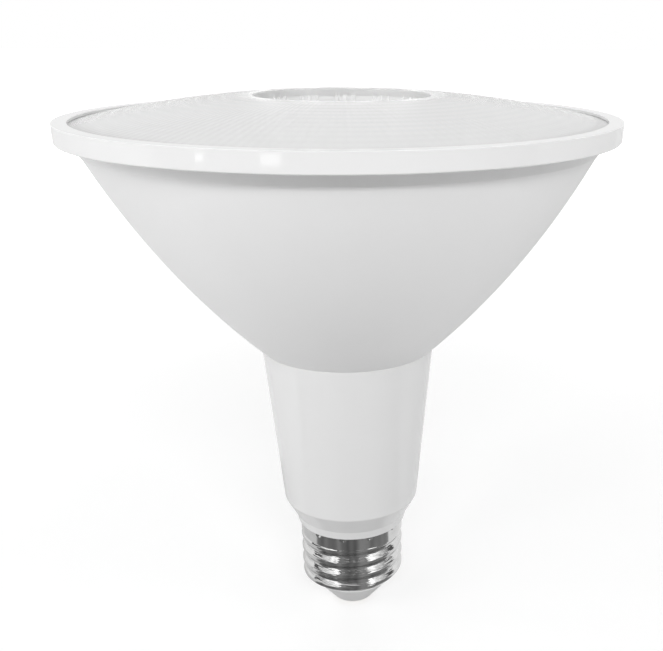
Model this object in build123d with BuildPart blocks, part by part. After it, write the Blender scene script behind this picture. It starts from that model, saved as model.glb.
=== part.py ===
from build123d import *
import os
from math import asin, cos, hypot, radians, sin, tan

os.makedirs("parts", exist_ok=True)

# A reflector spotlight lamp with a medium screw cap, standing lens up, in millimetres.
# The origin is the tip of the centre contact on the lamp's axis, and Z runs up to the lens.

# Clearances
slip = 0.1
snap_fit = 0.2
seat_gap = 0.05

# Centre contact and insulator
contact_margin = 0.9
contact_dome = 1.6
contact_shank_radius = 1.5
contact_shank_length = 6.4
insulator_tip_radius = 4.9
insulator_tip_round = 1.6
insulator_cone_height = 6.7
insulator_throat_height = 0.5
insulator_shoulder_height = 2.6
insulator_wall = 1.05
insulator_floor = 9.4

# Screw shell
cap_height = 25.85
thread_crest_radius = 13.1
thread_depth = 0.85
thread_pitch = 3.629
thread_knuckle_radius = 1.45
thread_half_turns = 8
thread_run_in = 1.18
shell_wall = 0.3
shell_lip_turn = 2.2
shell_lip_inset = 1.85
rim_inset = 0.05
rim_height = 4.1
rim_step = 0.8
crimp_count = 12
crimp_ball_radius = 1.2
crimp_depth = 0.2
crimp_drop = 0.75
crimp_start_angle = 20

# Neck housing
spigot_wall = 1.55
collar_overhang = 0.61
collar_flare = 0.54
collar_height = 2.35
collar_round = 0.4
flare_height = 4.8
flare_width = 2.65
neck_foot_round = 1.2
neck_length = 39.8
neck_wall = 2.0
register_step = 2.2
register_wall = 1.8
register_height = 2.5
neck_screw_inset = 3.1
neck_boss_radius = 2.8
neck_boss_length = 13.0
wire_notch_width = 3.0
wire_notch_height = 3.6
wire_notch_angle = 25

# Bowl housing
bowl_depth = 46.3
bowl_bulge = 2.54
bowl_wall = 2.2
bowl_floor = 3.0
band_height = 2.6
band_step = 0.2
bowl_rim_wall = 1.2
bowl_flange_width = 2.7
bowl_flange_height = 0.8
wire_hole_radius = 2.6

# Bezel ring, gasket and lens
bezel_radius = 60.5
bezel_wall = 1.7
bezel_hook = 1.15
bezel_lip = 0.6
bezel_lip_width = 3.15
bezel_round = 0.5
gasket_height = 0.4
lens_flange_height = 0.8
lens_skirt_wall = 1.2
lens_skirt_depth = 2.3
lens_wall = 2.0
lens_rise = 5.05
lens_bulge = 0.6
lens_ring_radius = 22.7
lens_ring_width = 3.25
well_draft = 0.55
well_depth = 6.0

# Reflector and light board
reflector_collar = 4.0
reflector_rim_width = 3.5
reflector_bulge = 3.6
reflector_wall = 1.2
led_board_height = 1.6
led_width = 3.0
led_height = 0.75
led_inner_circle_radius = 7.0
led_inner_count = 6
led_row_spacing = 4.8
led_margin = 1.2
led_outer_count = 12

# Screws
screw_count = 3
board_screw_radius = 1.25
board_screw_head_radius = 2.2
board_screw_head_height = 1.5
board_screw_bite = 2.4
neck_screw_radius = 1.4
neck_screw_head_radius = 2.8
neck_screw_length = 11.0
countersink_angle = 90

# Driver board and its parts
driver_face = -0.6
driver_thickness = 1.6
driver_edge_gap = 1.65
driver_top_gap = 4.0
driver_tongue_gap = 3.0
rail_thickness = 1.2
rail_overlap = 1.6
transformer_width = 16.0
transformer_height = 13.0
transformer_core_depth = 5.0
transformer_leg = 4.2
transformer_yoke = 2.2
coil_width = 11.0
coil_depth = 10.4
coil_round = 1.5
choke_radius = 4.2
choke_height = 8.5
choke_flange = 1.2
choke_waist_radius = 3.6
input_can_gap = 1.5
input_can_length = 16.5
output_can_radius = 5.0
output_can_length = 15.5
can_groove = 0.4
can_groove_rise = 2.2
can_edge_round = 0.5
film_width = 10.0
film_height = 9.0
film_depth = 5.5
film_round = 1.0
part_spacing = 0.6
package_taper = 8
bridge_width = 4.8
bridge_height = 4.0
bridge_depth = 2.4
chip_width = 4.9
chip_height = 3.9
chip_depth = 1.5
diode_width = 4.4
diode_height = 3.6
diode_depth = 2.2
varistor_radius = 3.5
varistor_depth = 3.4
fuse_radius = 1.6
fuse_length = 7.5
resistor_width = 2.0
resistor_height = 1.25
resistor_depth = 0.55
resistor_count = 5
lead_radius = 0.55
pin_width = 0.7
pin_spacing = 2.54
pin_grip = 4.0
socket_height = 2.4
socket_depth = 3.6
socket_foot = 2.0


def bend_radii(points):
    """Largest even bends for a lead: 0.45 of the shorter run over the tangent of half the turn."""
    radii = []
    for before, corner, after in zip(points, points[1:], points[2:]):
        arriving = Vector(*corner) - Vector(*before)
        leaving = Vector(*after) - Vector(*corner)
        turn = radians(arriving.get_angle(leaving))
        radii.append(0.45 * min(arriving.length, leaving.length) / tan(turn / 2))
    return radii


def start_plane(route):
    """Plane across the start of a lead's route."""
    return Plane(origin=route.line @ 0, z_dir=route.line % 0)


# Radii of the screw cap and of what goes inside it
thread_root_radius = thread_crest_radius - thread_depth
rim_radius = thread_crest_radius - rim_inset
shell_bore = thread_root_radius - shell_wall
rim_bore = rim_radius - shell_wall
insulator_throat_radius = thread_root_radius - shell_lip_inset
insulator_cup_radius = insulator_throat_radius - insulator_wall
lip_bore = insulator_throat_radius + slip
lip_radius = lip_bore + shell_wall
thread_limit_radius = thread_crest_radius + slip
contact_radius = insulator_tip_radius - contact_margin
contact_bore = contact_shank_radius + seat_gap
spigot_bore = shell_bore - snap_fit - spigot_wall

# Heights of the screw cap, from the tip up
insulator_base = contact_dome
lip_bottom = insulator_base + insulator_cone_height + insulator_throat_height + snap_fit
root_bottom = lip_bottom + shell_lip_turn
rim_bottom = cap_height - rim_height
thread_top = rim_bottom + thread_run_in
half_turn_rise = thread_pitch / 2
knuckle_circle = hypot(thread_crest_radius - thread_knuckle_radius, half_turn_rise / 2)
thread_tilt = asin(half_turn_rise / 2 / knuckle_circle)
shoulder_bottom = root_bottom - shell_lip_turn / 3
shoulder_top = shoulder_bottom + insulator_shoulder_height

# Heights of the housings
spigot_bottom = shoulder_top + snap_fit
collar_top = cap_height + collar_height
flare_top = collar_top + flare_height
neck_top = flare_top + neck_length
register_top = neck_top + register_height
floor_bottom = register_top + slip
floor_top = floor_bottom + bowl_floor
bowl_top = neck_top + bowl_depth
bezel_bottom = bowl_top + band_height
flange_bottom = bezel_bottom + bezel_hook + seat_gap
flange_top = flange_bottom + bowl_flange_height
lens_seat = flange_top + gasket_height
lens_edge_top = lens_seat + lens_flange_height
bezel_top = lens_edge_top + seat_gap + bezel_lip
lens_top = lens_edge_top + lens_rise
well_floor = lens_top - well_depth
board_top = floor_top + led_board_height

# Radii of the light board, from the emitters out. The neck is as wide at its top as this board.
led_outer_circle_radius = led_inner_circle_radius + led_row_spacing
reflector_throat = led_outer_circle_radius + led_width / 2 + led_margin
board_screw_circle_radius = reflector_throat + reflector_wall + snap_fit + board_screw_head_radius
led_board_radius = board_screw_circle_radius + board_screw_head_radius + snap_fit
neck_top_radius = led_board_radius

# Radii of the collar, the neck and the register that the bowl sits on
collar_foot_radius = rim_radius + collar_overhang
collar_radius = collar_foot_radius + collar_flare
neck_foot_radius = collar_radius + flare_width
register_radius = neck_top_radius - register_step
neck_screw_circle_radius = register_radius - neck_screw_inset

# Radii where the bezel, the bowl and the lens meet, from the outside in
bezel_bore = bezel_radius - bezel_wall
bezel_lip_radius = bezel_radius - bezel_lip_width
bowl_flange_radius = bezel_bore - snap_fit
band_radius = bowl_flange_radius - bowl_flange_width
bowl_mouth_radius = band_radius - band_step
rim_bore_radius = band_radius - bowl_rim_wall
lens_edge_radius = bezel_lip_radius - snap_fit
lens_flange_radius = bowl_flange_radius - slip
reflector_mouth = rim_bore_radius - reflector_rim_width
skirt_radius = rim_bore_radius - snap_fit
skirt_bore = skirt_radius - lens_skirt_wall
well_radius = lens_ring_radius - lens_ring_width
well_floor_radius = well_radius - well_draft

# The bowl's wall is measured square to the straight line between its two edges
bowl_run = bowl_mouth_radius - neck_top_radius
bowl_chord = hypot(bowl_run, bowl_depth)
wall_inward = bowl_wall * bowl_depth / bowl_chord
wall_upward = bowl_wall * bowl_run / bowl_chord
ledge_height = bowl_top + wall_upward

# The driver board stands upright, with its tall parts in front and its flat parts behind
driver_half_width = neck_foot_radius - neck_wall - driver_edge_gap
driver_tongue_half_width = spigot_bore - driver_tongue_gap
input_can_radius = (spigot_bore + driver_face - slip - input_can_gap) / 2
driver_back = driver_face + driver_thickness
driver_top = register_top - driver_top_gap
driver_shoulder = flare_top + neck_wall / 2
driver_bottom = spigot_bottom + neck_wall
front_of_board = Plane(origin=(0, driver_face, 0), x_dir=(1, 0, 0), z_dir=(0, -1, 0))
back_of_board = Plane(origin=(0, driver_back, 0), x_dir=(-1, 0, 0), z_dir=(0, 1, 0))

# Centre contact, a domed rivet
with BuildPart() as centre_contact:
    with BuildSketch(Plane.XZ):
        with BuildLine():
            TangentArc((0, 0), (contact_radius, contact_dome), tangent=(1, 0))
            Polyline(
                (contact_radius, contact_dome),
                (contact_shank_radius, contact_dome),
                (contact_shank_radius, contact_dome + contact_shank_length),
                (0, contact_dome + contact_shank_length),
                (0, 0),
            )
        make_face()
    revolve(axis=Axis.Z)
centre_contact.part.label = "centre_contact"
export_step(centre_contact.part, "parts/centre_contact.step")

# Insulator, a cone below the shell with a shoulder and a cup inside it
with BuildPart() as base_insulator:
    with BuildSketch(Plane.XZ) as insulator_section:
        with BuildLine():
            Polyline(
                (contact_bore, insulator_base),
                (insulator_tip_radius, insulator_base),
                (insulator_throat_radius, insulator_base + insulator_cone_height),
                (insulator_throat_radius, shoulder_bottom),
                (shell_bore - 2 * snap_fit, shoulder_bottom),
                (shell_bore - 2 * snap_fit, shoulder_top),
                (insulator_cup_radius, shoulder_top),
                (insulator_cup_radius, insulator_base + insulator_floor),
                (contact_bore, insulator_base + insulator_floor),
                close=True,
            )
        make_face()
        tip_corner = insulator_section.vertices().group_by(Axis.Y)[0].sort_by(Axis.X)[-1]
        fillet(tip_corner, insulator_tip_round)
    revolve(axis=Axis.Z)
base_insulator.part.label = "base_insulator"
export_step(base_insulator.part, "parts/base_insulator.step")

# Screw shell: a turned-in lip, a rolled thread and a crimped plain rim, bored to a thin wall.
# Each turn of the thread is two tilted half rings, so the ridge climbs to the right in front.
# The half rings are laid from the rim down, and the lowest fades out over the turned-in lip.
with BuildPart() as screw_shell:
    for half_turn in range(thread_half_turns):
        side = 1 if half_turn % 2 else -1
        middle_height = thread_top - (half_turn + 0.5) * half_turn_rise
        half_turn_plane = Plane(
            origin=(0, 0, middle_height),
            x_dir=(side * cos(thread_tilt), 0, -sin(thread_tilt)),
            z_dir=(side * sin(thread_tilt), 0, cos(thread_tilt)),
        )
        with Locations(half_turn_plane):
            Torus(knuckle_circle, thread_knuckle_radius, major_angle=180, align=None)
    with BuildSketch(Plane.XZ):
        with BuildLine():
            TangentArc((thread_root_radius, root_bottom), (lip_radius, lip_bottom), tangent=(0, -1))
            Polyline(
                (lip_radius, lip_bottom),
                (0, lip_bottom),
                (0, cap_height),
                (rim_radius, cap_height),
                (rim_radius, rim_bottom + rim_step),
                (thread_root_radius, rim_bottom),
                (thread_root_radius, root_bottom),
            )
        make_face()
    revolve(axis=Axis.Z)
    with BuildSketch(Plane.XZ):
        with BuildLine():
            TangentArc((thread_limit_radius, root_bottom), (lip_radius, lip_bottom), tangent=(0, -1))
            Polyline(
                (lip_radius, lip_bottom),
                (0, lip_bottom),
                (0, cap_height),
                (thread_limit_radius, cap_height),
                (thread_limit_radius, root_bottom),
            )
        make_face()
    revolve(axis=Axis.Z, mode=Mode.INTERSECT)
    with BuildSketch(Plane.XZ):
        with BuildLine():
            TangentArc((shell_bore, root_bottom), (lip_bore, lip_bottom), tangent=(0, -1))
            Polyline(
                (lip_bore, lip_bottom),
                (0, lip_bottom),
                (0, cap_height),
                (rim_bore, cap_height),
                (rim_bore, rim_bottom + rim_step + shell_wall / 2),
                (shell_bore, rim_bottom + shell_wall / 2),
                (shell_bore, root_bottom),
            )
        make_face()
    revolve(axis=Axis.Z, mode=Mode.SUBTRACT)
    with Locations(Plane.XY.offset(cap_height - crimp_drop)):
        with PolarLocations(
            rim_radius + crimp_ball_radius - crimp_depth,
            crimp_count,
            start_angle=crimp_start_angle,
        ):
            Sphere(crimp_ball_radius, mode=Mode.SUBTRACT)
screw_shell.part.label = "screw_shell"
export_step(screw_shell.part, "parts/screw_shell.step")

# Neck housing: spigot, collar, flare, tapered wall, board rails, screw bosses and top register
boss_bottom = register_top - neck_boss_length
rail_bottom = driver_shoulder
rail_top = boss_bottom - neck_wall
rail_inner = driver_half_width - rail_overlap
spigot_top = cap_height - rim_height / 2
with BuildPart() as neck_housing:
    with BuildSketch(Plane.XY.offset(rail_bottom)):
        for side in (-1, 1):
            for rail_middle in (
                driver_face - slip - rail_thickness / 2,
                driver_back + slip + rail_thickness / 2,
            ):
                with Locations((side * (rail_inner + neck_top_radius) / 2, rail_middle)):
                    Rectangle(neck_top_radius - rail_inner, rail_thickness)
    extrude(amount=rail_top - rail_bottom)
    with BuildSketch(Plane.XY.offset(boss_bottom)):
        with PolarLocations(neck_screw_circle_radius, screw_count, start_angle=90):
            Circle(neck_boss_radius)
            Rectangle(
                neck_top_radius - neck_screw_circle_radius,
                2 * neck_boss_radius,
                align=(Align.MIN, Align.CENTER),
            )
    extrude(amount=neck_boss_length)
    with BuildSketch(Plane.XZ):
        with BuildLine():
            Polyline(
                (0, collar_top),
                (neck_foot_radius - neck_wall / 2, flare_top),
                (neck_top_radius - neck_wall / 2, neck_top),
                (register_radius - register_wall / 4, neck_top),
                (register_radius - register_wall / 4, register_top),
                (0, register_top),
                close=True,
            )
        make_face()
    revolve(axis=Axis.Z, mode=Mode.INTERSECT)
    with BuildSketch(Plane.XZ) as neck_section:
        with BuildLine():
            Polyline(
                (spigot_bore, spigot_bottom),
                (shell_bore - snap_fit, spigot_bottom),
                (shell_bore - snap_fit, spigot_top),
                (rim_bore - snap_fit, spigot_top),
                (rim_bore - snap_fit, cap_height),
                (collar_foot_radius, cap_height),
                (collar_radius, collar_top),
                (neck_foot_radius, flare_top),
                (neck_top_radius, neck_top),
                (register_radius, neck_top),
                (register_radius, register_top),
                (register_radius - register_wall, register_top),
                (register_radius - register_wall, neck_top - neck_wall),
                (neck_top_radius - neck_wall, neck_top - 2 * neck_wall),
                (neck_foot_radius - neck_wall, flare_top + neck_wall / 4),
                (spigot_bore, collar_top - neck_wall / 4),
                close=True,
            )
        make_face()
        outside_corners = neck_section.vertices().filter_by_position(
            Axis.Y, flare_top - slip, flare_top + slip
        )
        fillet(outside_corners, neck_foot_round)
        collar_corners = neck_section.vertices().filter_by_position(
            Axis.Y, cap_height - slip, cap_height + slip
        )
        fillet(collar_corners.sort_by(Axis.X)[-1], collar_round)
    revolve(axis=Axis.Z)
    with Locations(Plane.XY.offset(register_top)):
        with PolarLocations(neck_screw_circle_radius, screw_count, start_angle=90):
            Hole(neck_screw_radius + seat_gap, depth=neck_screw_length)
    notch_plane = Plane.XY.offset(spigot_bottom).rotated((0, 0, wire_notch_angle))
    with BuildSketch(notch_plane):
        Rectangle(
            rim_radius,
            wire_notch_width,
            align=(Align.MIN, Align.CENTER),
        )
    extrude(amount=wire_notch_height, mode=Mode.SUBTRACT)
neck_housing.part.label = "neck_housing"
export_step(neck_housing.part, "parts/neck_housing.step")

# Bowl housing: cast wall, floor for the light board, socket for the neck and a rim flange
with BuildPart() as bowl_housing:
    with BuildSketch(Plane.XZ):
        with BuildLine():
            SagittaArc((neck_top_radius, neck_top), (bowl_mouth_radius, bowl_top), -bowl_bulge)
            Polyline(
                (bowl_mouth_radius, bowl_top),
                (band_radius, bowl_top),
                (band_radius, flange_bottom),
                (bowl_flange_radius, flange_bottom),
                (bowl_flange_radius, flange_top),
                (0, flange_top),
                (0, neck_top),
                (neck_top_radius, neck_top),
            )
        make_face()
    revolve(axis=Axis.Z)
    with BuildSketch(Plane.XZ):
        with BuildLine():
            SagittaArc(
                (neck_top_radius - wall_inward, neck_top + wall_upward),
                (bowl_mouth_radius - wall_inward, ledge_height),
                -bowl_bulge,
            )
            Polyline(
                (bowl_mouth_radius - wall_inward, ledge_height),
                (0, ledge_height),
                (0, neck_top + wall_upward),
                (neck_top_radius - wall_inward, neck_top + wall_upward),
            )
        make_face()
        with Locations((0, floor_top)):
            Rectangle(
                2 * bowl_mouth_radius,
                bowl_depth,
                align=(Align.CENTER, Align.MAX),
                mode=Mode.SUBTRACT,
            )
    revolve(axis=Axis.Z, mode=Mode.SUBTRACT)
    with BuildSketch(Plane.XY.offset(ledge_height)):
        Circle(rim_bore_radius)
    extrude(amount=flange_top - ledge_height, mode=Mode.SUBTRACT)
    with BuildSketch(Plane.XY.offset(neck_top)):
        Circle(register_radius + slip)
    extrude(amount=floor_bottom - neck_top, mode=Mode.SUBTRACT)
    with Locations(Plane.XY.offset(floor_top)):
        Hole(wire_hole_radius, depth=bowl_floor)
        with PolarLocations(board_screw_circle_radius, screw_count, start_angle=30):
            Hole(board_screw_radius + seat_gap, depth=board_screw_bite + slip)
        with PolarLocations(neck_screw_circle_radius, screw_count, start_angle=90):
            CounterSinkHole(
                neck_screw_radius + slip,
                neck_screw_head_radius + slip,
                depth=bowl_floor,
                counter_sink_angle=countersink_angle,
            )
bowl_housing.part.label = "bowl_housing"
export_step(bowl_housing.part, "parts/bowl_housing.step")

# Bezel ring, a channel that snaps over the bowl's flange and the lens's flange
with BuildPart() as bezel_ring:
    with BuildSketch(Plane.XZ) as bezel_section:
        with BuildLine():
            Polyline(
                (band_radius + snap_fit, bezel_bottom),
                (bezel_radius, bezel_bottom),
                (bezel_radius, bezel_top),
                (bezel_lip_radius, bezel_top),
                (bezel_lip_radius, bezel_top - bezel_lip),
                (bezel_bore, bezel_top - bezel_lip),
                (bezel_bore, bezel_bottom + bezel_hook),
                (band_radius + snap_fit, bezel_bottom + bezel_hook),
                close=True,
            )
        make_face()
        fillet(bezel_section.vertices().group_by(Axis.X)[-1], bezel_round)
    revolve(axis=Axis.Z)
bezel_ring.part.label = "bezel_ring"
export_step(bezel_ring.part, "parts/bezel_ring.step")

# Gasket between the two flanges
with BuildPart() as lens_gasket:
    with BuildSketch(Plane.XY.offset(flange_top)):
        Circle(lens_flange_radius)
        Circle(rim_bore_radius, mode=Mode.SUBTRACT)
    extrude(amount=gasket_height)
lens_gasket.part.label = "lens_gasket"
export_step(lens_gasket.part, "parts/lens_gasket.step")

# Lens: flange, skirt, a gently domed crown, a plain ring and a well
with BuildPart() as lens:
    with BuildSketch(Plane.XZ):
        with BuildLine():
            SagittaArc((lens_edge_radius, lens_edge_top), (lens_ring_radius, lens_top), -lens_bulge)
            Polyline(
                (lens_ring_radius, lens_top),
                (well_radius, lens_top),
                (well_floor_radius, well_floor),
                (0, well_floor),
                (0, well_floor - lens_wall),
                (well_floor_radius + lens_wall, well_floor - lens_wall),
                (lens_ring_radius - lens_wall / 2, lens_top - lens_wall),
            )
            SagittaArc(
                (lens_ring_radius - lens_wall / 2, lens_top - lens_wall),
                (skirt_bore, lens_seat - lens_flange_height),
                lens_bulge,
            )
            Polyline(
                (skirt_bore, lens_seat - lens_flange_height),
                (skirt_bore, lens_seat - lens_skirt_depth),
                (skirt_radius, lens_seat - lens_skirt_depth),
                (skirt_radius, lens_seat),
                (lens_flange_radius, lens_seat),
                (lens_flange_radius, lens_edge_top),
                (lens_edge_radius, lens_edge_top),
            )
        make_face()
    revolve(axis=Axis.Z)
lens.part.label = "lens"
export_step(lens.part, "parts/lens.step")

# Reflector, a collar on the light board and a bright cone up to the bowl's ledge
reflector_foot = board_top + snap_fit
reflector_bottom = board_top + reflector_collar
reflector_top = ledge_height + slip
reflector_flange_top = lens_seat - lens_skirt_depth - slip
with BuildPart() as reflector:
    with BuildSketch(Plane.XZ):
        with BuildLine():
            Polyline(
                (reflector_throat + reflector_wall, reflector_bottom - reflector_wall),
                (reflector_throat + reflector_wall, reflector_foot),
                (reflector_throat, reflector_foot),
                (reflector_throat, reflector_bottom),
            )
            SagittaArc(
                (reflector_throat, reflector_bottom),
                (reflector_mouth, reflector_flange_top),
                -reflector_bulge,
            )
            Polyline(
                (reflector_mouth, reflector_flange_top),
                (skirt_radius, reflector_flange_top),
                (skirt_radius, reflector_top),
                (reflector_mouth + reflector_wall, reflector_top),
            )
            SagittaArc(
                (reflector_throat + reflector_wall, reflector_bottom - reflector_wall),
                (reflector_mouth + reflector_wall, reflector_top),
                -reflector_bulge,
            )
        make_face()
    revolve(axis=Axis.Z)
reflector.part.label = "reflector"
export_step(reflector.part, "parts/reflector.step")

# Light board, its emitters and its screws
with BuildPart() as led_board:
    with BuildSketch(Plane.XY.offset(floor_top)):
        Circle(led_board_radius)
        Circle(wire_hole_radius, mode=Mode.SUBTRACT)
        with PolarLocations(board_screw_circle_radius, screw_count, start_angle=30):
            Circle(board_screw_radius + slip, mode=Mode.SUBTRACT)
    extrude(amount=led_board_height)
led_board.part.label = "led_board"
export_step(led_board.part, "parts/led_board.step")

with BuildPart() as led_packages:
    with BuildSketch(Plane.XY.offset(board_top)):
        with PolarLocations(led_inner_circle_radius, led_inner_count, start_angle=180 / led_inner_count):
            Rectangle(led_width, led_width)
        with PolarLocations(led_outer_circle_radius, led_outer_count):
            Rectangle(led_width, led_width)
    extrude(amount=led_height)
led_packages.part.label = "led_packages"
export_step(led_packages.part, "parts/led_packages.step")

with BuildPart() as board_screws:
    with BuildSketch(Plane.XY.offset(board_top)):
        with PolarLocations(board_screw_circle_radius, screw_count, start_angle=30):
            Circle(board_screw_head_radius)
    extrude(amount=board_screw_head_height)
    with BuildSketch(Plane.XY.offset(board_top)):
        with PolarLocations(board_screw_circle_radius, screw_count, start_angle=30):
            Circle(board_screw_radius)
    extrude(amount=-led_board_height - board_screw_bite)
board_screws.part.label = "board_screws"
export_step(board_screws.part, "parts/board_screws.step")

neck_screw_top = floor_top - slip
neck_screw_bottom = register_top - neck_screw_length + neck_wall
head_taper = neck_screw_head_radius - neck_screw_radius
with BuildPart() as neck_screws:
    with BuildSketch(Plane.XY.offset(neck_screw_bottom)):
        with PolarLocations(neck_screw_circle_radius, screw_count, start_angle=90):
            Circle(neck_screw_radius)
    extrude(amount=neck_screw_top - neck_screw_bottom)
    with Locations(Plane.XY.offset(neck_screw_top - head_taper / 2)):
        with PolarLocations(neck_screw_circle_radius, screw_count, start_angle=90):
            Cone(neck_screw_radius, neck_screw_head_radius, head_taper)
neck_screws.part.label = "neck_screws"
export_step(neck_screws.part, "parts/neck_screws.step")

# Driver board, wide in the neck with a tongue down into the cap
with BuildPart() as driver_board:
    with BuildSketch(front_of_board):
        with Locations((0, driver_shoulder)):
            Rectangle(
                2 * driver_half_width,
                driver_top - driver_shoulder,
                align=(Align.CENTER, Align.MIN),
            )
        with Locations((0, driver_bottom)):
            Rectangle(
                2 * driver_tongue_half_width,
                driver_shoulder - driver_bottom,
                align=(Align.CENTER, Align.MIN),
            )
    extrude(amount=-driver_thickness)
driver_board.part.label = "driver_board"
export_step(driver_board.part, "parts/driver_board.step")

# Transformer: a ferrite frame with a middle leg, and the taped coil around that leg
low_row_middle = driver_shoulder + part_spacing + film_height / 2
transformer_middle = low_row_middle + film_height / 2 + part_spacing + transformer_height / 2
core_depth_middle = coil_depth / 2
window_height = transformer_height - 2 * transformer_yoke
core_front = front_of_board.offset(core_depth_middle - transformer_core_depth / 2)
window_width = (transformer_width - transformer_leg) / 2 - transformer_yoke
window_middle = (transformer_leg + window_width) / 2
with BuildPart() as transformer_core:
    with BuildSketch(core_front):
        with Locations((0, transformer_middle)):
            Rectangle(transformer_width, transformer_height)
        with Locations((-window_middle, transformer_middle), (window_middle, transformer_middle)):
            Rectangle(window_width, window_height, mode=Mode.SUBTRACT)
    extrude(amount=transformer_core_depth)
transformer_core.part.label = "transformer_core"
export_step(transformer_core.part, "parts/transformer_core.step")

coil_height = window_height - 2 * slip
with BuildPart() as transformer_coil:
    with BuildSketch(Plane.XY.offset(transformer_middle - coil_height / 2)):
        with Locations((0, driver_face - core_depth_middle)):
            RectangleRounded(
                min(coil_width, transformer_leg + 2 * window_width - 2 * slip),
                coil_depth,
                coil_round,
            )
            Rectangle(
                transformer_leg + 2 * slip,
                transformer_core_depth + 2 * slip,
                mode=Mode.SUBTRACT,
            )
    extrude(amount=coil_height)
transformer_coil.part.label = "transformer_coil"
export_step(transformer_coil.part, "parts/transformer_coil.step")

# Drum choke and film capacitor, side by side below the transformer
choke_middle = part_spacing + choke_radius
with BuildPart() as drum_choke:
    with BuildSketch(front_of_board):
        with Locations((choke_middle, low_row_middle)):
            Circle(choke_waist_radius)
    extrude(amount=choke_height)
    with BuildSketch(front_of_board, front_of_board.offset(choke_height - choke_flange)):
        with Locations((choke_middle, low_row_middle)):
            Circle(choke_radius)
    extrude(amount=choke_flange)
drum_choke.part.label = "drum_choke"
export_step(drum_choke.part, "parts/drum_choke.step")

with BuildPart() as film_capacitor:
    with BuildSketch(front_of_board):
        with Locations((-film_width / 2, low_row_middle)):
            RectangleRounded(film_width, film_height, film_round)
    extrude(amount=film_depth)
film_capacitor.part.label = "film_capacitor"
export_step(film_capacitor.part, "parts/film_capacitor.step")


def can_points(radius, length):
    """Half section of a can that starts at its crimped end, as pairs along and out from its axis."""
    groove_start = can_groove_rise - can_groove
    groove_end = can_groove_rise + can_groove
    return [
        (0, 0),
        (0, radius - can_edge_round),
        (can_edge_round, radius),
        (groove_start, radius),
        (can_groove_rise, radius - can_groove),
        (groove_end, radius),
        (length - can_edge_round, radius),
        (length, radius - can_edge_round),
        (length, 0),
    ]


# Input capacitor, upright in the hollow of the cap
input_axis = Plane(
    origin=(0, driver_face - slip - input_can_radius, driver_bottom),
    x_dir=(0, 0, 1),
    z_dir=(0, -1, 0),
)
with BuildPart() as input_capacitor:
    with BuildSketch(input_axis):
        with BuildLine():
            Polyline(*can_points(input_can_radius, input_can_length), close=True)
        make_face()
    revolve(axis=Axis(input_axis.origin, input_axis.x_dir))
input_capacitor.part.label = "input_capacitor"
export_step(input_capacitor.part, "parts/input_capacitor.step")

# Output capacitor, lying across the top of the driver board
output_height = transformer_middle + transformer_height / 2 + part_spacing + output_can_radius
output_axis = Plane(
    origin=(-output_can_length / 2, driver_face - slip - output_can_radius, output_height),
    x_dir=(1, 0, 0),
    z_dir=(0, -1, 0),
)
with BuildPart() as output_capacitor:
    with BuildSketch(output_axis):
        with BuildLine():
            Polyline(*can_points(output_can_radius, output_can_length), close=True)
        make_face()
    revolve(axis=Axis(output_axis.origin, output_axis.x_dir))
output_capacitor.part.label = "output_capacitor"
export_step(output_capacitor.part, "parts/output_capacitor.step")

# Flat parts on the back of the driver board
with BuildPart() as bridge_rectifier:
    with BuildSketch(back_of_board):
        with Locations((-bridge_width, low_row_middle)):
            Rectangle(bridge_width, bridge_height)
    extrude(amount=bridge_depth, taper=package_taper)
bridge_rectifier.part.label = "bridge_rectifier"
export_step(bridge_rectifier.part, "parts/bridge_rectifier.step")

with BuildPart() as driver_chip:
    with BuildSketch(back_of_board):
        with Locations((0, transformer_middle)):
            Rectangle(chip_width, chip_height)
    extrude(amount=chip_depth, taper=package_taper)
driver_chip.part.label = "driver_chip"
export_step(driver_chip.part, "parts/driver_chip.step")

with BuildPart() as output_diode:
    with BuildSketch(back_of_board):
        with Locations((-2 * diode_width, transformer_middle + transformer_height / 2)):
            Rectangle(diode_width, diode_height)
    extrude(amount=diode_depth, taper=package_taper)
output_diode.part.label = "output_diode"
export_step(output_diode.part, "parts/output_diode.step")

with BuildPart() as chip_resistors:
    with BuildSketch(back_of_board):
        with Locations((0, transformer_middle - transformer_height / 2)):
            with GridLocations(2 * resistor_width, 1, resistor_count, 1):
                Rectangle(resistor_width, resistor_height)
    extrude(amount=resistor_depth)
chip_resistors.part.label = "chip_resistors"
export_step(chip_resistors.part, "parts/chip_resistors.step")

# Fuse resistor and varistor, one above the other on the back of the tongue
fuse_bottom = driver_bottom + part_spacing
fuse_depth = driver_back + fuse_radius + seat_gap
with BuildPart() as fuse_resistor:
    with BuildSketch(Plane.XY.offset(fuse_bottom)):
        with Locations((0, fuse_depth)):
            Circle(fuse_radius)
    extrude(amount=fuse_length)
fuse_resistor.part.label = "fuse_resistor"
export_step(fuse_resistor.part, "parts/fuse_resistor.step")

with BuildPart() as varistor:
    with BuildSketch(back_of_board):
        with Locations((0, fuse_bottom + fuse_length + part_spacing + varistor_radius)):
            Circle(varistor_radius)
    extrude(amount=varistor_depth)
varistor.part.label = "varistor"
export_step(varistor.part, "parts/varistor.step")

# Leads, as straight runs joined by arcs
contact_top = contact_dome + contact_shank_length
lead_turn = (shoulder_top + driver_bottom) / 2
live_points = [
    (0, fuse_depth, fuse_bottom),
    (0, fuse_depth, lead_turn),
    (0, 0, insulator_base + insulator_floor + 2 * lead_radius),
    (0, 0, contact_top),
]
with BuildPart() as live_wire:
    with BuildLine() as live_route:
        FilletPolyline(*live_points, radius=bend_radii(live_points))
    with BuildSketch(start_plane(live_route)):
        Circle(lead_radius)
    sweep(path=live_route.line)
live_wire.part.label = "live_wire"
export_step(live_wire.part, "parts/live_wire.step")

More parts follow.
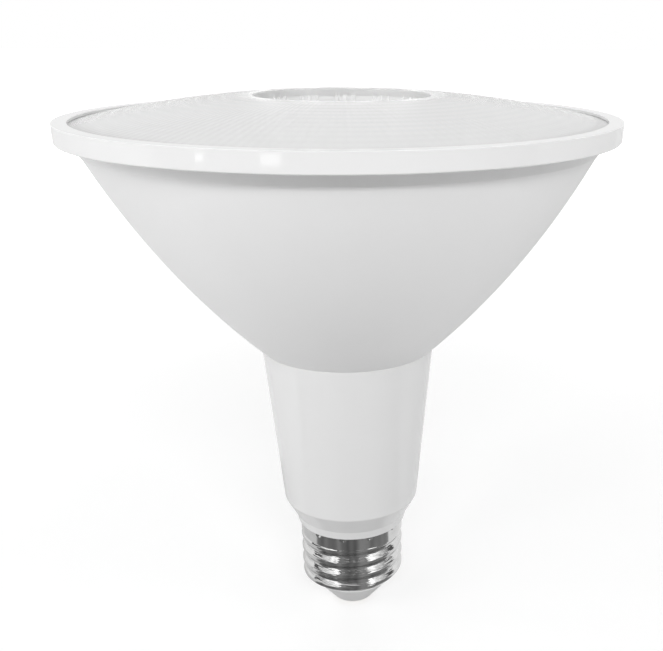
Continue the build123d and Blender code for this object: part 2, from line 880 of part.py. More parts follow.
neutral_depth = driver_back + lead_radius + seat_gap
notch_middle = spigot_bottom + wire_notch_height / 2
neutral_start = (driver_tongue_half_width - 3 * lead_radius, neutral_depth)
neutral_end = Vector(shell_bore - seat_gap - slip, 0).rotate(Axis.Z, wire_notch_angle)
neutral_points = [
    (*neutral_start, notch_middle + 2 * wire_notch_height),
    (*neutral_start, notch_middle),
    (neutral_end.X, neutral_end.Y, notch_middle),
]
with BuildPart() as neutral_wire:
    with BuildLine() as neutral_route:
        FilletPolyline(*neutral_points, radius=bend_radii(neutral_points))
    with BuildSketch(start_plane(neutral_route)):
        Circle(lead_radius)
    sweep(path=neutral_route.line)
neutral_wire.part.label = "neutral_wire"
export_step(neutral_wire.part, "parts/neutral_wire.step")

# Pins up from the driver board, and the socket on the light board that they plug into
pin_middle = driver_back + pin_width / 2
socket_top = board_top + socket_height
with BuildPart() as driver_pins:
    with BuildSketch(Plane.XY.offset(driver_top - pin_grip)):
        with Locations((-pin_spacing / 2, pin_middle), (pin_spacing / 2, pin_middle)):
            Rectangle(pin_width, pin_width)
    extrude(amount=socket_top - driver_top + pin_grip)
driver_pins.part.label = "driver_pins"
export_step(driver_pins.part, "parts/driver_pins.step")

with BuildPart() as pin_socket:
    with BuildSketch(Plane.XY.offset(board_top)):
        with Locations((0, pin_middle)):
            Rectangle(2 * wire_hole_radius + socket_foot, socket_depth)
        with Locations((-pin_spacing / 2, pin_middle), (pin_spacing / 2, pin_middle)):
            Rectangle(pin_width + 2 * slip, pin_width + 2 * slip, mode=Mode.SUBTRACT)
    extrude(amount=socket_height)
pin_socket.part.label = "pin_socket"
export_step(pin_socket.part, "parts/pin_socket.step")

for lead_name, lead_points in (("live_wire", live_points), ("neutral_wire", neutral_points)):
    print(lead_name, "bends", [round(bend, 2) for bend in bend_radii(lead_points)])
print("height", round(lens_top, 2), "width", 2 * bezel_radius)
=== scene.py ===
# %% [markdown]
# # A reflector spotlight bulb, dressed for its photograph
# The solid model fixes every size and place. This script loads it, gives each surface its finish,
# and makes finer meshes for the pieces that the eye rests on: the patterned lens, the glossy and
# satin white mouldings and the rolled screw shell.

# %% Load the solid model
import math

import bmesh
import bpy
import numpy as np
from mathutils import Matrix, Vector


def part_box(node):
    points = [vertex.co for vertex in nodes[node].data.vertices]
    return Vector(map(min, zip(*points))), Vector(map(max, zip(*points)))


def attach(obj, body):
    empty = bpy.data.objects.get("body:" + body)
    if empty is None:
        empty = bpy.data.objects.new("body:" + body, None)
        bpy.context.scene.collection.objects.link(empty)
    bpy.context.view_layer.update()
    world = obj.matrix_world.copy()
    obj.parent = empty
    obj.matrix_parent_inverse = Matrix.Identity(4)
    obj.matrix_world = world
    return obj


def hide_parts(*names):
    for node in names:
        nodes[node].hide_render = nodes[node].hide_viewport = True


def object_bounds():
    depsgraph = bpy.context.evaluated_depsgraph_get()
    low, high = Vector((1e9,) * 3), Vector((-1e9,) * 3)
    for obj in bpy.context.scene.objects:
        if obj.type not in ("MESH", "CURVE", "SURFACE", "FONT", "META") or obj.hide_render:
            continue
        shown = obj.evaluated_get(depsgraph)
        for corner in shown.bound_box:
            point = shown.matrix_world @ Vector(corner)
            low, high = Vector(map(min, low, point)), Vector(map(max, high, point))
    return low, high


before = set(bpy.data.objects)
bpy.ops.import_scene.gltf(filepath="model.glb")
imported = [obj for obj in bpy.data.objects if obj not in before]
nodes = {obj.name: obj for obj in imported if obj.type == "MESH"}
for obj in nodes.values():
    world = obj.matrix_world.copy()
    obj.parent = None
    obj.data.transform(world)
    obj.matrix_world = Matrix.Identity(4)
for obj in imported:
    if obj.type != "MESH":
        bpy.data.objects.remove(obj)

cad_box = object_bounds()
MM = 0.001
cad_height = (cad_box[1][2] - cad_box[0][2]) / MM
print("solid model:", len(nodes), "nodes, height", round(cad_height, 2), "mm")

# %% [markdown]
# ## The camera
# The photograph looks a little down on the bulb from about a hand's length away, so the lens is
# seen almost edge on and the screw cap is foreshortened. A camera is matched by lining up edges
# whose real sizes are known, here the rims and the screw cap. The picture was cropped off centre,
# which is what the small lens shift stands for.

# %% The photograph's viewpoint
camera_place = Vector((0.0, -210.04, 144.63)) * MM
view_right = Vector((0.9975, -0.0703, 0.0058))
view_up = Vector((0.0217, 0.3841, 0.9230))
view_back = Vector((-0.0671, -0.9206, 0.3847))


def put_in_scene(name, data):
    """A new object in the scene, for a camera, a lamp or a mesh."""
    item = bpy.data.objects.new(name, data)
    bpy.context.scene.collection.objects.link(item)
    return item


camera_data = bpy.data.cameras.new("photo_camera")
camera_data.sensor_width = 36.0
camera_data.lens = 49.61
camera_data.shift_x = -0.1194
camera_data.shift_y = 0.1157
camera_data.clip_start = 0.01
camera = put_in_scene("photo_camera", camera_data)
turn = Matrix((view_right, view_up, view_back)).transposed()
camera.matrix_world = Matrix.Translation(camera_place) @ turn.to_4x4()
bpy.context.scene.camera = camera
print("camera", round(camera_place.length / MM), "mm from the contact's tip")

# %% [markdown]
# ## Small helpers for node trees
# Shaders and geometry are both built as trees of nodes. A few helpers keep that readable: they add
# a node and set its inputs by name, and they give short names to the sums, the noises and the
# changes of range that come back in almost every tree.

# %% Helpers for any tree


def set_inputs(tree, node, values):
    """Sets inputs of a node in a tree, each to a value or to a link from another node."""
    for key, value in values.items():
        if isinstance(value, bpy.types.NodeSocket):
            tree.links.new(value, node.inputs[key])
        else:
            node.inputs[key].default_value = value


def add_node(tree, kind, inputs=None, **settings):
    """A node of that kind in the tree, with its settings and with inputs that are values or links."""
    node = tree.nodes.new(kind)
    for key, value in settings.items():
        setattr(node, key, value)
    set_inputs(tree, node, inputs or {})
    return node


def add_sockets(tree, way, kind, defaults):
    """Named sockets of one kind on a group or a geometry tree, with the values they start from."""
    for name, default in defaults.items():
        socket = tree.interface.new_socket(name=name, in_out=way, socket_type=kind)
        if default is not None:
            socket.default_value = default


def calc(tree, operation, first, second=None):
    """The result of one sum on values or links."""
    inputs = {0: first} if second is None else {0: first, 1: second}
    return add_node(tree, "ShaderNodeMath", inputs, operation=operation).outputs[0]


print("helpers: inputs, nodes, sockets and sums")

# %% Helpers for finishes


def rgb(red, green, blue):
    """An opaque colour."""
    return (red, green, blue, 1.0)


def grey(level):
    """A neutral colour."""
    return rgb(level, level, level)


def own_place(tree):
    """A surface point in the piece's own coordinates."""
    return add_node(tree, "ShaderNodeTexCoord").outputs["Object"]


def stretched(tree, place, scale):
    """A place with its three axes scaled."""
    return add_node(tree, "ShaderNodeMapping", {"Vector": place, "Scale": scale}).outputs["Vector"]


def noise(tree, place, scale, detail):
    """Soft noise at a place, about 0.3 to 0.7."""
    inputs = {"Vector": place, "Scale": scale, "Detail": detail}
    return add_node(tree, "ShaderNodeTexNoise", inputs).outputs["Fac"]


def remap(tree, value, low, high, new_low, new_high):
    """A value whose range from low to high becomes a new range, and which stays inside it."""
    inputs = {"Value": value, "From Min": low, "From Max": high, "To Min": new_low, "To Max": new_high}
    return add_node(tree, "ShaderNodeMapRange", inputs).outputs["Result"]


def mixed(tree, share, first, second):
    """A colour between two colours."""
    inputs = {"Factor": share, 6: first, 7: second}
    return add_node(tree, "ShaderNodeMix", inputs, data_type="RGBA").outputs[2]


def bumped(tree, height, strength, depth, below=None):
    """The direction of a surface raised by a height, with its depth in millimetres."""
    inputs = {"Height": height, "Strength": strength, "Distance": depth * MM}
    if below is not None:
        inputs["Normal"] = below
    return add_node(tree, "ShaderNodeBump", inputs).outputs["Normal"]


def new_finish(name, plain):
    """A new material, its tree and its shader, with the values that are the same all over."""
    material = bpy.data.materials.new(name)
    material.use_nodes = True
    tree = material.node_tree
    shader = tree.nodes["Principled BSDF"]
    set_inputs(tree, shader, plain)
    return material, tree, shader


print("helpers: colours, noises, ranges, bumps and new finishes")

# %% [markdown]
# ## A skin that several finishes share
# No moulded or painted surface is one flat colour. Up close there is a fine grain from the tool or
# the spray, and over a few centimetres the tone and the gloss drift a little. Both come from noise
# in the bulb's own coordinates, so the skin stays in place when the bulb turns. One group serves
# every opaque finish, each with its own colours and scales.

# %% The skin group
skin = bpy.data.node_groups.new("Skin", "ShaderNodeTree")
add_sockets(skin, "INPUT", "NodeSocketColor", {"Light Tone": grey(0.8), "Dark Tone": grey(0.7)})
add_sockets(skin, "INPUT", "NodeSocketFloat", {"Smoothest": 0.3, "Roughest": 0.4})
add_sockets(skin, "INPUT", "NodeSocketFloat", {"Drift Scale": 40.0, "Grain Scale": 2500.0})
add_sockets(skin, "OUTPUT", "NodeSocketColor", {"Colour": None})
add_sockets(skin, "OUTPUT", "NodeSocketFloat", {"Roughness": None, "Height": None})

skin_in = add_node(skin, "NodeGroupInput").outputs
skin_place = own_place(skin)
drift = noise(skin, skin_place, skin_in["Drift Scale"], 3.0)
grain = noise(skin, skin_place, skin_in["Grain Scale"], 2.0)
tone = mixed(skin, drift, skin_in["Dark Tone"], skin_in["Light Tone"])
gloss = remap(skin, drift, 0.3, 0.7, skin_in["Smoothest"], skin_in["Roughest"])
add_node(skin, "NodeGroupOutput", {"Colour": tone, "Roughness": gloss, "Height": grain})
print("skin group with", len(skin.nodes), "nodes")

# %% [markdown]
# ## The white mouldings
# Four whites meet on this bulb. The trim ring is the glossiest, with sharp reflections of the lamps.
# The neck is a slightly greyer moulded plastic. The bowl is cast metal under satin paint, so its
# highlights spread wide. The reflector behind the lens is a bright diffuse white. All four are the
# skin group with other numbers: two tones, two ends of the gloss, two scales and the grain's depth.

# %% White finishes
grain_strength = 0.5


def skinned(name, light, dark, smooth, rough, drift_scale, grain_scale, grain_depth, plain=None):
    """A finish on the skin group. Values that are the same all over are set on the shader itself."""
    material, tree, shader = new_finish(name, plain or {})
    skin_values = {
        "Light Tone": light,
        "Dark Tone": dark,
        "Smoothest": smooth,
        "Roughest": rough,
        "Drift Scale": drift_scale,
        "Grain Scale": grain_scale,
    }
    surface = add_node(tree, "ShaderNodeGroup", skin_values, node_tree=skin).outputs
    shader_values = {
        "Base Color": surface["Colour"],
        "Roughness": surface["Roughness"],
        "Normal": bumped(tree, surface["Height"], grain_strength, grain_depth),
    }
    set_inputs(tree, shader, shader_values)
    return material


glossy = {"IOR": 1.5}
painted = {"IOR": 1.48}
ring_white = skinned("ring_white", grey(0.82), grey(0.81), 0.03, 0.05, 60.0, 1800.0, 0.001, glossy)
neck_white = skinned("neck_white", grey(0.77), grey(0.755), 0.12, 0.18, 60.0, 1800.0, 0.004, glossy)
satin_white = skinned("satin_white", grey(0.93), grey(0.915), 0.40, 0.48, 45.0, 1400.0, 0.012, painted)
reflector_white = skinned("reflector_white", grey(0.94), grey(0.925), 0.28, 0.36, 30.0, 900.0, 0.004)
print("white finishes:", ring_white.name, neck_white.name, satin_white.name, reflector_white.name)

# %% [markdown]
# ## Metals of the cap
# The screw shell is rolled from thin plated sheet: a bright nickel mirror with faint rolling lines
# round it, and slow waves where the wheels pressed it, which break each lamp's reflection into
# streaks. The waves could be modelled, but they are too shallow to change the outline, so a bump
# serves. They fade out on the plain rim. The contact is a tinned rivet and the insulator between
# them is a smooth pale grey cone.

# %% Insulator and contact finishes
metal = {"Metallic": 1.0}
tin_light = rgb(0.66, 0.63, 0.56)
tin_dark = rgb(0.54, 0.50, 0.42)
insulator_grey = skinned("insulator_grey", grey(0.92), grey(0.87), 0.34, 0.44, 220.0, 2600.0, 0.006)
contact_tin = skinned("contact_tin", tin_light, tin_dark, 0.28, 0.42, 500.0, 4000.0, 0.01, metal)
print("finishes below the shell:", insulator_grey.name, contact_tin.name)

# %% Nickel finish
nickel_dark = grey(0.60)
nickel_light = rgb(0.74, 0.74, 0.735)
rolling_stretch = (60.0, 60.0, 2600.0)
rolling_depth = 0.01
wave_stretch = (110.0, 110.0, 1700.0)
wave_depth = 0.24
waves_fade_from = 21.0 * MM
waves_fade_to = 22.5 * MM
waves_on_rim = 0.06

nickel, nickel_tree, nickel_shader = new_finish("nickel_plate", metal)
nickel_place = own_place(nickel_tree)
smudge = noise(nickel_tree, nickel_place, 320.0, 4.0)
rolling = noise(nickel_tree, stretched(nickel_tree, nickel_place, rolling_stretch), 1.0, 3.0)
waves = noise(nickel_tree, stretched(nickel_tree, nickel_place, wave_stretch), 1.0, 2.0)
nickel_height = add_node(nickel_tree, "ShaderNodeSeparateXYZ", {0: nickel_place}).outputs["Z"]
wave_share = remap(nickel_tree, nickel_height, waves_fade_from, waves_fade_to, 1.0, waves_on_rim)
rolling_bump = bumped(nickel_tree, rolling, 0.35, rolling_depth)
nickel_values = {
    "Base Color": mixed(nickel_tree, smudge, nickel_dark, nickel_light),
    "Roughness": remap(nickel_tree, smudge, 0.3, 0.75, 0.05, 0.12),
    "Normal": bumped(nickel_tree, waves, wave_share, wave_depth, rolling_bump),
}
set_inputs(nickel_tree, nickel_shader, nickel_values)
print("shell finish:", nickel.name, "with", len(nickel_tree.nodes), "nodes")

# %% [markdown]
# ## The clear lens
# The lens is moulded plastic with a slight milkiness, so the white reflector behind it shows as one
# even pale tone. It is set up as rough glass with plastic's refractive index and a share of white.
# The pillows on its face are real geometry and bend the light themselves, and a very fine ripple
# from the mould keeps it from looking too perfect. Shadow rays and soft light pass straight through,
# so that light fills the inside.

# %% Lens finish
lens_plain = {"Base Color": grey(0.765), "Roughness": 0.2, "IOR": 1.49, "Transmission Weight": 0.45}
lens_clear, lens_tree, lens_shader = new_finish("lens_clear", lens_plain)
lens_ripple = noise(lens_tree, own_place(lens_tree), 260.0, 2.0)
set_inputs(lens_tree, lens_shader, {"Normal": bumped(lens_tree, lens_ripple, 0.1, 0.02)})
lens_path = add_node(lens_tree, "ShaderNodeLightPath").outputs
lens_soft = calc(lens_tree, "MAXIMUM", lens_path["Is Shadow Ray"], lens_path["Is Diffuse Ray"])
lens_passing = add_node(lens_tree, "ShaderNodeBsdfTransparent", {"Color": grey(1.0)})
lens_mix = add_node(
    lens_tree,
    "ShaderNodeMixShader",
    {0: lens_soft, 1: lens_shader.outputs[0], 2: lens_passing.outputs[0]},
)
set_inputs(lens_tree, lens_tree.nodes["Material Output"], {"Surface": lens_mix.outputs[0]})
print("lens finish:", lens_clear.name)

# %% [markdown]
# ## Finishes inside
# The light board and the driver are seen only dimly or not at all, but each piece still gets the
# finish that it has on the bench: solder mask, moulded packages, ferrite, tape and tinned pins.
# They are recipes for the skin group, in the order that its maker takes them.

# %% Inside finishes
inside_recipes = {
    "seal_white": (grey(0.62), grey(0.56), 0.6, 0.7, 90.0, 2200.0, 0.01),
    "board_white": (grey(0.86), grey(0.81), 0.35, 0.5, 120.0, 3000.0, 0.006),
    "phosphor": (rgb(0.86, 0.62, 0.13), rgb(0.80, 0.54, 0.09), 0.35, 0.5, 900.0, 6000.0, 0.01),
    "package_white": (grey(0.84), grey(0.78), 0.4, 0.5, 700.0, 5000.0, 0.006),
    "screw_steel": (grey(0.62), grey(0.5), 0.25, 0.4, 600.0, 5000.0, 0.01, metal),
    "board_green": (rgb(0.02, 0.11, 0.04), rgb(0.01, 0.07, 0.03), 0.35, 0.5, 300.0, 2500.0, 0.01),
    "ferrite": (grey(0.035), grey(0.02), 0.45, 0.6, 500.0, 4000.0, 0.02),
    "coil_tape": (rgb(0.75, 0.45, 0.04), rgb(0.66, 0.36, 0.03), 0.3, 0.45, 300.0, 2500.0, 0.01),
    "chip_black": (grey(0.018), grey(0.01), 0.5, 0.65, 700.0, 6000.0, 0.015),
    "can_sleeve": (rgb(0.012, 0.014, 0.04), rgb(0.008, 0.01, 0.03), 0.25, 0.35, 250.0, 2000.0, 0.006),
    "film_red": (rgb(0.30, 0.03, 0.012), rgb(0.22, 0.02, 0.01), 0.25, 0.4, 300.0, 1500.0, 0.03),
    "varistor_blue": (rgb(0.02, 0.07, 0.32), rgb(0.014, 0.05, 0.24), 0.25, 0.4, 300.0, 1500.0, 0.03),
    "resistor_green": (rgb(0.12, 0.25, 0.14), rgb(0.09, 0.19, 0.11), 0.4, 0.55, 500.0, 2500.0, 0.02),
    "wire_red": (rgb(0.40, 0.012, 0.01), rgb(0.32, 0.01, 0.008), 0.3, 0.45, 400.0, 2500.0, 0.01),
    "wire_white": (grey(0.72), grey(0.66), 0.35, 0.5, 400.0, 2500.0, 0.01),
    "pin_tin": (grey(0.66), grey(0.55), 0.22, 0.36, 900.0, 5000.0, 0.008, metal),
    "socket_white": (grey(0.82), grey(0.76), 0.45, 0.6, 400.0, 2500.0, 0.012),
}
inside = {name: skinned(name, *recipe) for name, recipe in inside_recipes.items()}
print(len(inside), "finishes for the inside")

# %% Finishes on the pieces inside
inside_nodes = {
    "lens_gasket": "seal_white",
    "led_board": "board_white",
    "neck_screws": "screw_steel",
    "driver_board": "board_green",
    "transformer_core": "ferrite",
    "transformer_coil": "coil_tape",
    "drum_choke": "ferrite",
    "input_capacitor": "can_sleeve",
    "output_capacitor": "can_sleeve",
    "film_capacitor": "film_red",
    "bridge_rectifier": "chip_black",
    "driver_chip": "chip_black",
    "output_diode": "chip_black",
    "chip_resistors": "chip_black",
    "varistor": "varistor_blue",
    "fuse_resistor": "resistor_green",
    "live_wire": "wire_red",
    "neutral_wire": "wire_white",
    "driver_pins": "pin_tin",
    "pin_socket": "socket_white",
}
for node_name, finish_name in inside_nodes.items():
    nodes[node_name].data.materials.clear()
    nodes[node_name].data.materials.append(inside[finish_name])
print("finished", len(inside_nodes), "pieces inside the bulb")

# %% [markdown]
# ## Turning the round pieces
# Almost every outer piece of a bulb is round, so it can be drawn as half a section and turned about
# the axis. The solid model's own mesh is fine for sizes, but its flat facets would show in glossy
# plastic. The same section, with its small edge rounds and turned in many steps, gives clean
# highlights. Sections are worked out with complex numbers, in which a turn is one multiplication.

# %% Sections with arcs and rounded corners
flat_hold = 0.02


def arc_points(centre, start, end, steps):
    """Points of the short arc about a centre, as complex numbers."""
    sweep = np.angle((end - centre) / (start - centre))
    return [centre + (start - centre) * np.exp(1j * sweep * k / steps) for k in range(steps + 1)]


def arc_centre(first, last, bulge):
    """Centre of an arc that stands off its chord, to the right of the way it goes."""
    chord = abs(last - first)
    radius = (chord * chord / 4 + bulge * bulge) / (2 * bulge)
    right = -1j * (last - first) / chord
    return (first + last) / 2 + right * (bulge - radius)


def bulged(start, end, bulge, steps):
    """Points of an arc from start to end with that bulge."""
    first = complex(*start)
    last = complex(*end)
    points = arc_points(arc_centre(first, last, bulge), first, last, steps)
    return [(point.real, point.imag) for point in points]


def rounded(corners, steps=5):
    """A closed section whose corners are (radius, height) or (radius, height, edge round), in
    millimetres. A point just beside each round keeps the flat next to it flat when shaded smooth."""
    points = []
    for index, corner in enumerate(corners):
        here = complex(corner[0], corner[1])
        edge_round = corner[2] if len(corner) > 2 else 0
        if not edge_round:
            points.append((here.real, here.imag))
            continue
        before = complex(*corners[index - 1][:2]) - here
        after = complex(*corners[(index + 1) % len(corners)][:2]) - here
        before /= abs(before)
        after /= abs(after)
        half = abs(np.angle(after / before)) / 2
        start = here + before * edge_round / math.tan(half)
        end = here + after * edge_round / math.tan(half)
        middle = (before + after) / abs(before + after)
        centre = here + middle * edge_round / math.sin(half)
        arc = arc_points(centre, start, end, steps)
        held = [start + before * flat_hold] + arc + [end + after * flat_hold]
        points += [(point.real, point.imag) for point in held]
    return points


print("helpers: arcs and rounded sections")

# %% A lathe
merge_distance = 0.0005 * MM
usual_sharp_angle = 32.0


def ring_points(radius, angles, height):
    """Points about the bulb's axis at some angles and one height, from millimetres."""
    reach = radius * MM
    return np.stack(
        [reach * np.cos(angles), reach * np.sin(angles), np.full(len(angles), height * MM)], axis=1
    )


def ring_of(radius, height, steps):
    """Points of one circle about the bulb's axis, from millimetres."""
    return ring_points(radius, np.linspace(0, 2 * math.pi, steps, endpoint=False), height)


def finish_mesh(mesh, sharp_angle=usual_sharp_angle):
    """Closes poles and seams, points the faces outwards and shades smooth up to an angle."""
    work = bmesh.new()
    work.from_mesh(mesh)
    bmesh.ops.remove_doubles(work, verts=work.verts, dist=merge_distance)
    bmesh.ops.recalc_face_normals(work, faces=work.faces)
    work.to_mesh(mesh)
    work.free()
    mesh.polygons.foreach_set("use_smooth", [True] * len(mesh.polygons))
    mesh.set_sharp_from_angle(angle=math.radians(sharp_angle))
    return mesh


def mesh_from_rings(name, rings, closed, sharp_angle=usual_sharp_angle):
    """A mesh through rings that all have as many points. A closed section joins last to first."""
    count = len(rings)
    around = len(rings[0])
    vertices = [tuple(point) for ring in rings for point in ring]
    faces = []
    for row in range(count if closed else count - 1):
        low = row * around
        high = ((row + 1) % count) * around
        for k in range(around):
            beside = (k + 1) % around
            faces.append((low + k, low + beside, high + beside, high + k))
    mesh = bpy.data.meshes.new(name)
    mesh.from_pydata(vertices, [], faces)
    return finish_mesh(mesh, sharp_angle)


def place_piece(name, mesh, material, node):
    """Puts a finished mesh in the scene in place of a node of the solid model."""
    mesh.materials.clear()
    mesh.materials.append(material)
    piece = put_in_scene(name, mesh)
    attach(piece, "root")
    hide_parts(node)
    print(name, "stands for", node, "with", len(mesh.polygons), "faces")
    return piece


def turned(name, section, material, node, steps=256):
    """A piece turned from a closed section."""
    rings = [ring_of(radius, height, steps) for radius, height in section]
    return place_piece(name, mesh_from_rings(name, rings, True), material, node)


print("helpers: rings, meshes and turned pieces")

# %% [markdown]
# ## Bowl, trim ring and neck
# These three make the outline. The bowl swells gently from the neck to a short upright band, the
# ring overhangs that band and throws a thin shadow on it, and the neck tapers down to a flare and a
# small collar. Each is a list of corners with the edge rounds that its mould or die would give it.

# %% Bowl
bowl_bulge = 2.54
bowl_floor = 78.4
bowl_outside = bulged((20.5, 72.8), (55.7, 119.1), bowl_bulge, 48)
bowl_inside = bulged((18.75, 74.13), (53.95, 120.43), bowl_bulge, 48)
bowl_inside = [point for point in bowl_inside if point[1] > bowl_floor]
bowl_band = [(55.7, 119.1, 0.06), (55.9, 119.1, 0.08), (55.9, 122.9, 0.1)]
bowl_flange = [(58.6, 122.9, 0.15), (58.6, 123.7, 0.15), (54.7, 123.7, 0.15), (54.7, 120.43)]
bowl_bottom = [(22.2, bowl_floor), (2.6, bowl_floor), (2.6, 75.4), (18.4, 75.4), (18.4, 72.8)]
bowl_section = rounded(bowl_outside[:-1] + bowl_band + bowl_flange + bowl_inside[::-1] + bowl_bottom)
turned("bowl_skin", bowl_section, satin_white, "bowl_housing")

# %% Trim ring
ring_outside = [(56.1, 121.7, 0.15), (60.5, 121.7, 0.3), (60.5, 125.55, 0.12), (57.35, 125.55, 0.12)]
ring_channel = [(57.35, 124.95), (58.8, 124.95), (58.8, 122.85), (56.1, 122.85)]
ring_section = rounded(ring_outside + ring_channel, 6)
turned("trim_ring", ring_section, ring_white, "bezel_ring", 320)

# %% Neck
neck_spigot = [(10.2, 13.27), (11.75, 13.27), (11.75, 23.8), (12.55, 23.8), (12.55, 25.85)]
neck_outside = [(13.66, 25.85, 0.4), (14.2, 28.2, 0.25), (16.85, 33.0, 1.2), (20.5, 72.8, 0.15)]
neck_register = [(18.3, 72.8), (18.3, 75.3), (16.5, 75.3)]
neck_inside = [(16.5, 70.8), (18.5, 68.8), (14.85, 33.5), (10.2, 27.7)]
neck_section = rounded(neck_spigot + neck_outside + neck_register + neck_inside, 6)
turned("neck_skin", neck_section, neck_white, "neck_housing")

# %% [markdown]
# ## The screw shell
# A lamp cap's shell is thin sheet rolled between two wheels, so crests and valleys are equally round
# and the ridge is a true helix. The lower edge turns in over the insulator, and the plain rim above
# is dimpled into the neck so that it can't come off. A screw modifier could wind the thread, but it
# would leave the ends to be closed by hand. All of it is one radius for each angle and height, so
# the mesh is made straight from that rule.

# %% Sizes of the shell
thread_pitch = 3.629
thread_crest = 13.1
thread_root = 12.25
crest_at_left = 17.47
crest_power = 0.85
ridge_start = 8.8
ridge_start_run = 1.5
ridge_end = 23.4
ridge_end_run = 1.2
rim_start = 21.75
rim_start_run = 0.8
rim_top = 25.85
rim_radius = 13.05
lip_bottom = 9.0
lip_radius = 10.8
lip_top = 11.2
lip_width = thread_root - lip_radius
lip_round = (lip_width**2 + (lip_top - lip_bottom) ** 2) / (2 * lip_width)
lip_sweep = math.asin((lip_top - lip_bottom) / lip_round)
dimple_angles = np.radians(20 + 30 * np.arange(12))
dimple_height = 25.35
dimple_depth = 0.22
dimple_reach = 0.72
print("shell with", round((ridge_end - ridge_start) / thread_pitch, 1), "turns of thread")

# %% Shell surface
shell_steps = 240
shell_angles = np.linspace(0, 2 * math.pi, shell_steps, endpoint=False)
lip_heights = lip_top - lip_round * np.sin(lip_sweep * np.linspace(1, 0, 40, endpoint=False))
shell_heights = np.concatenate([lip_heights, np.linspace(lip_top, rim_top, 150)])


def ease(value):
    """A soft step from 0 to 1."""
    value = np.clip(value, 0, 1)
    return value * value * (3 - 2 * value)


def shell_radius(height):
    """Radius of the outside at each angle, at one height."""
    turns = (height - crest_at_left) / thread_pitch - (shell_angles - math.pi) / (2 * math.pi)
    wave = 0.5 + 0.5 * np.cos(2 * math.pi * turns)
    ridge = (thread_crest - thread_root) * wave**crest_power
    ridge = ridge * ease((height - ridge_start) / ridge_start_run)
    ridge = ridge * ease((ridge_end - height) / ridge_end_run)
    step = (rim_radius - thread_root) * ease((height - rim_start) / rim_start_run)
    turned_in = lip_round - math.sqrt(lip_round**2 - max(lip_top - height, 0) ** 2)
    radius = thread_root - turned_in + np.maximum(ridge, step)
    for dimple in dimple_angles:
        away = np.angle(np.exp(1j * (shell_angles - dimple))) * rim_radius
        reach = np.hypot(away, height - dimple_height)
        radius = radius - dimple_depth * ease((dimple_reach - reach) / dimple_reach)
    return radius


shell_rings = [ring_points(shell_radius(height), shell_angles, height) for height in shell_heights]
shell_inside = [
    (12.75, rim_top),
    (12.75, 22.7),
    (11.95, 21.9),
    (11.95, lip_top),
    (11.3, 9.6),
    (10.5, lip_bottom),
]
shell_rings += [ring_of(radius, height, shell_steps) for radius, height in shell_inside]
shell_mesh = mesh_from_rings("screw_shell_rolled", shell_rings, True, 40.0)
place_piece("screw_shell_rolled", shell_mesh, nickel, "screw_shell")

# %% [markdown]
# ## Insulator and contact
# A cone below the shell keeps the two poles of the cap apart, and the centre contact is a soft rivet
# with a domed head, set through it. Both are round, so the lathe turns them like the mouldings.

# %% Insulator and contact
insulator_outside = [(1.55, 1.6), (4.9, 1.6, 1.6), (10.4, 8.3, 0.5), (10.4, 10.47)]
insulator_shoulder = [(11.55, 10.47), (11.55, 13.07), (9.35, 13.07)]
insulator_hollow = [(9.35, 11.0), (1.55, 11.0)]
insulator_section = rounded(insulator_outside + insulator_shoulder + insulator_hollow, 6)
turned("insulator_cone", insulator_section, insulator_grey, "base_insulator", 160)
contact_section = bulged((0.0, 0.0), (4.0, 1.6), 0.415, 16)[:-1]
contact_section += rounded([(4.0, 1.6), (1.5, 1.6), (1.5, 8.0), (0.0, 8.0)])
turned("contact_rivet", contact_section, contact_tin, "centre_contact", 128)

# %% [markdown]
# ## The patterned lens
# The crown of the lens is covered with small pillows in rings, narrower towards the middle, which
# spread the beam. A ring of pillows is a rule, not a drawing: the tree below lays out a flat grid,
# wraps it round the axis, lifts it onto the dome and swells each cell. The number of pillows, their
# height and the dome are its inputs.

# %% Grid and rings of the crown's tree
crown_tree = bpy.data.node_groups.new("Pillow crown", "GeometryNodeTree")
crown_radii = {"Inner Radius": 0.0227, "Outer Radius": 0.05715}
crown_dome = {"Dome Centre Radius": None, "Dome Centre Height": None, "Dome Radius": None}
add_sockets(crown_tree, "INPUT", "NodeSocketInt", {"Columns": 180, "Rows": 12, "Steps": 4})
add_sockets(crown_tree, "INPUT", "NodeSocketFloat", crown_radii)
add_sockets(crown_tree, "INPUT", "NodeSocketFloat", crown_dome)
add_sockets(crown_tree, "INPUT", "NodeSocketFloat", {"Pillow Height": 0.0001})
add_sockets(crown_tree, "INPUT", "NodeSocketMaterial", {"Finish": None})
add_sockets(crown_tree, "OUTPUT", "NodeSocketGeometry", {"Geometry": None})
crown_in = add_node(crown_tree, "NodeGroupInput").outputs


def crown_math(operation, first, second=None):
    """One sum in the crown's tree."""
    return calc(crown_tree, operation, first, second)


cells_round = crown_math("MULTIPLY", crown_in["Columns"], crown_in["Steps"])
cells_out = crown_math("MULTIPLY", crown_in["Rows"], crown_in["Steps"])
grid_values = {
    "Size X": 1.0,
    "Size Y": 1.0,
    "Vertices X": crown_math("ADD", cells_round, 1.0),
    "Vertices Y": crown_math("ADD", cells_out, 1.0),
}
crown_grid = add_node(crown_tree, "GeometryNodeMeshGrid", grid_values).outputs["Mesh"]
grid_place = add_node(crown_tree, "GeometryNodeInputPosition").outputs[0]
crown_flat = add_node(crown_tree, "ShaderNodeSeparateXYZ", {0: grid_place}).outputs
share_round = crown_math("ADD", crown_flat["X"], 0.5)
share_out = crown_math("ADD", crown_flat["Y"], 0.5)
crown_width = crown_math("SUBTRACT", crown_in["Outer Radius"], crown_in["Inner Radius"])
crown_radius = crown_math("ADD", crown_in["Inner Radius"], crown_math("MULTIPLY", share_out, crown_width))
crown_angle = crown_math("MULTIPLY", share_round, 2 * math.pi)
print("crown's grid with", len(crown_tree.nodes), "nodes")

# %% Pillows and dome of the crown's tree


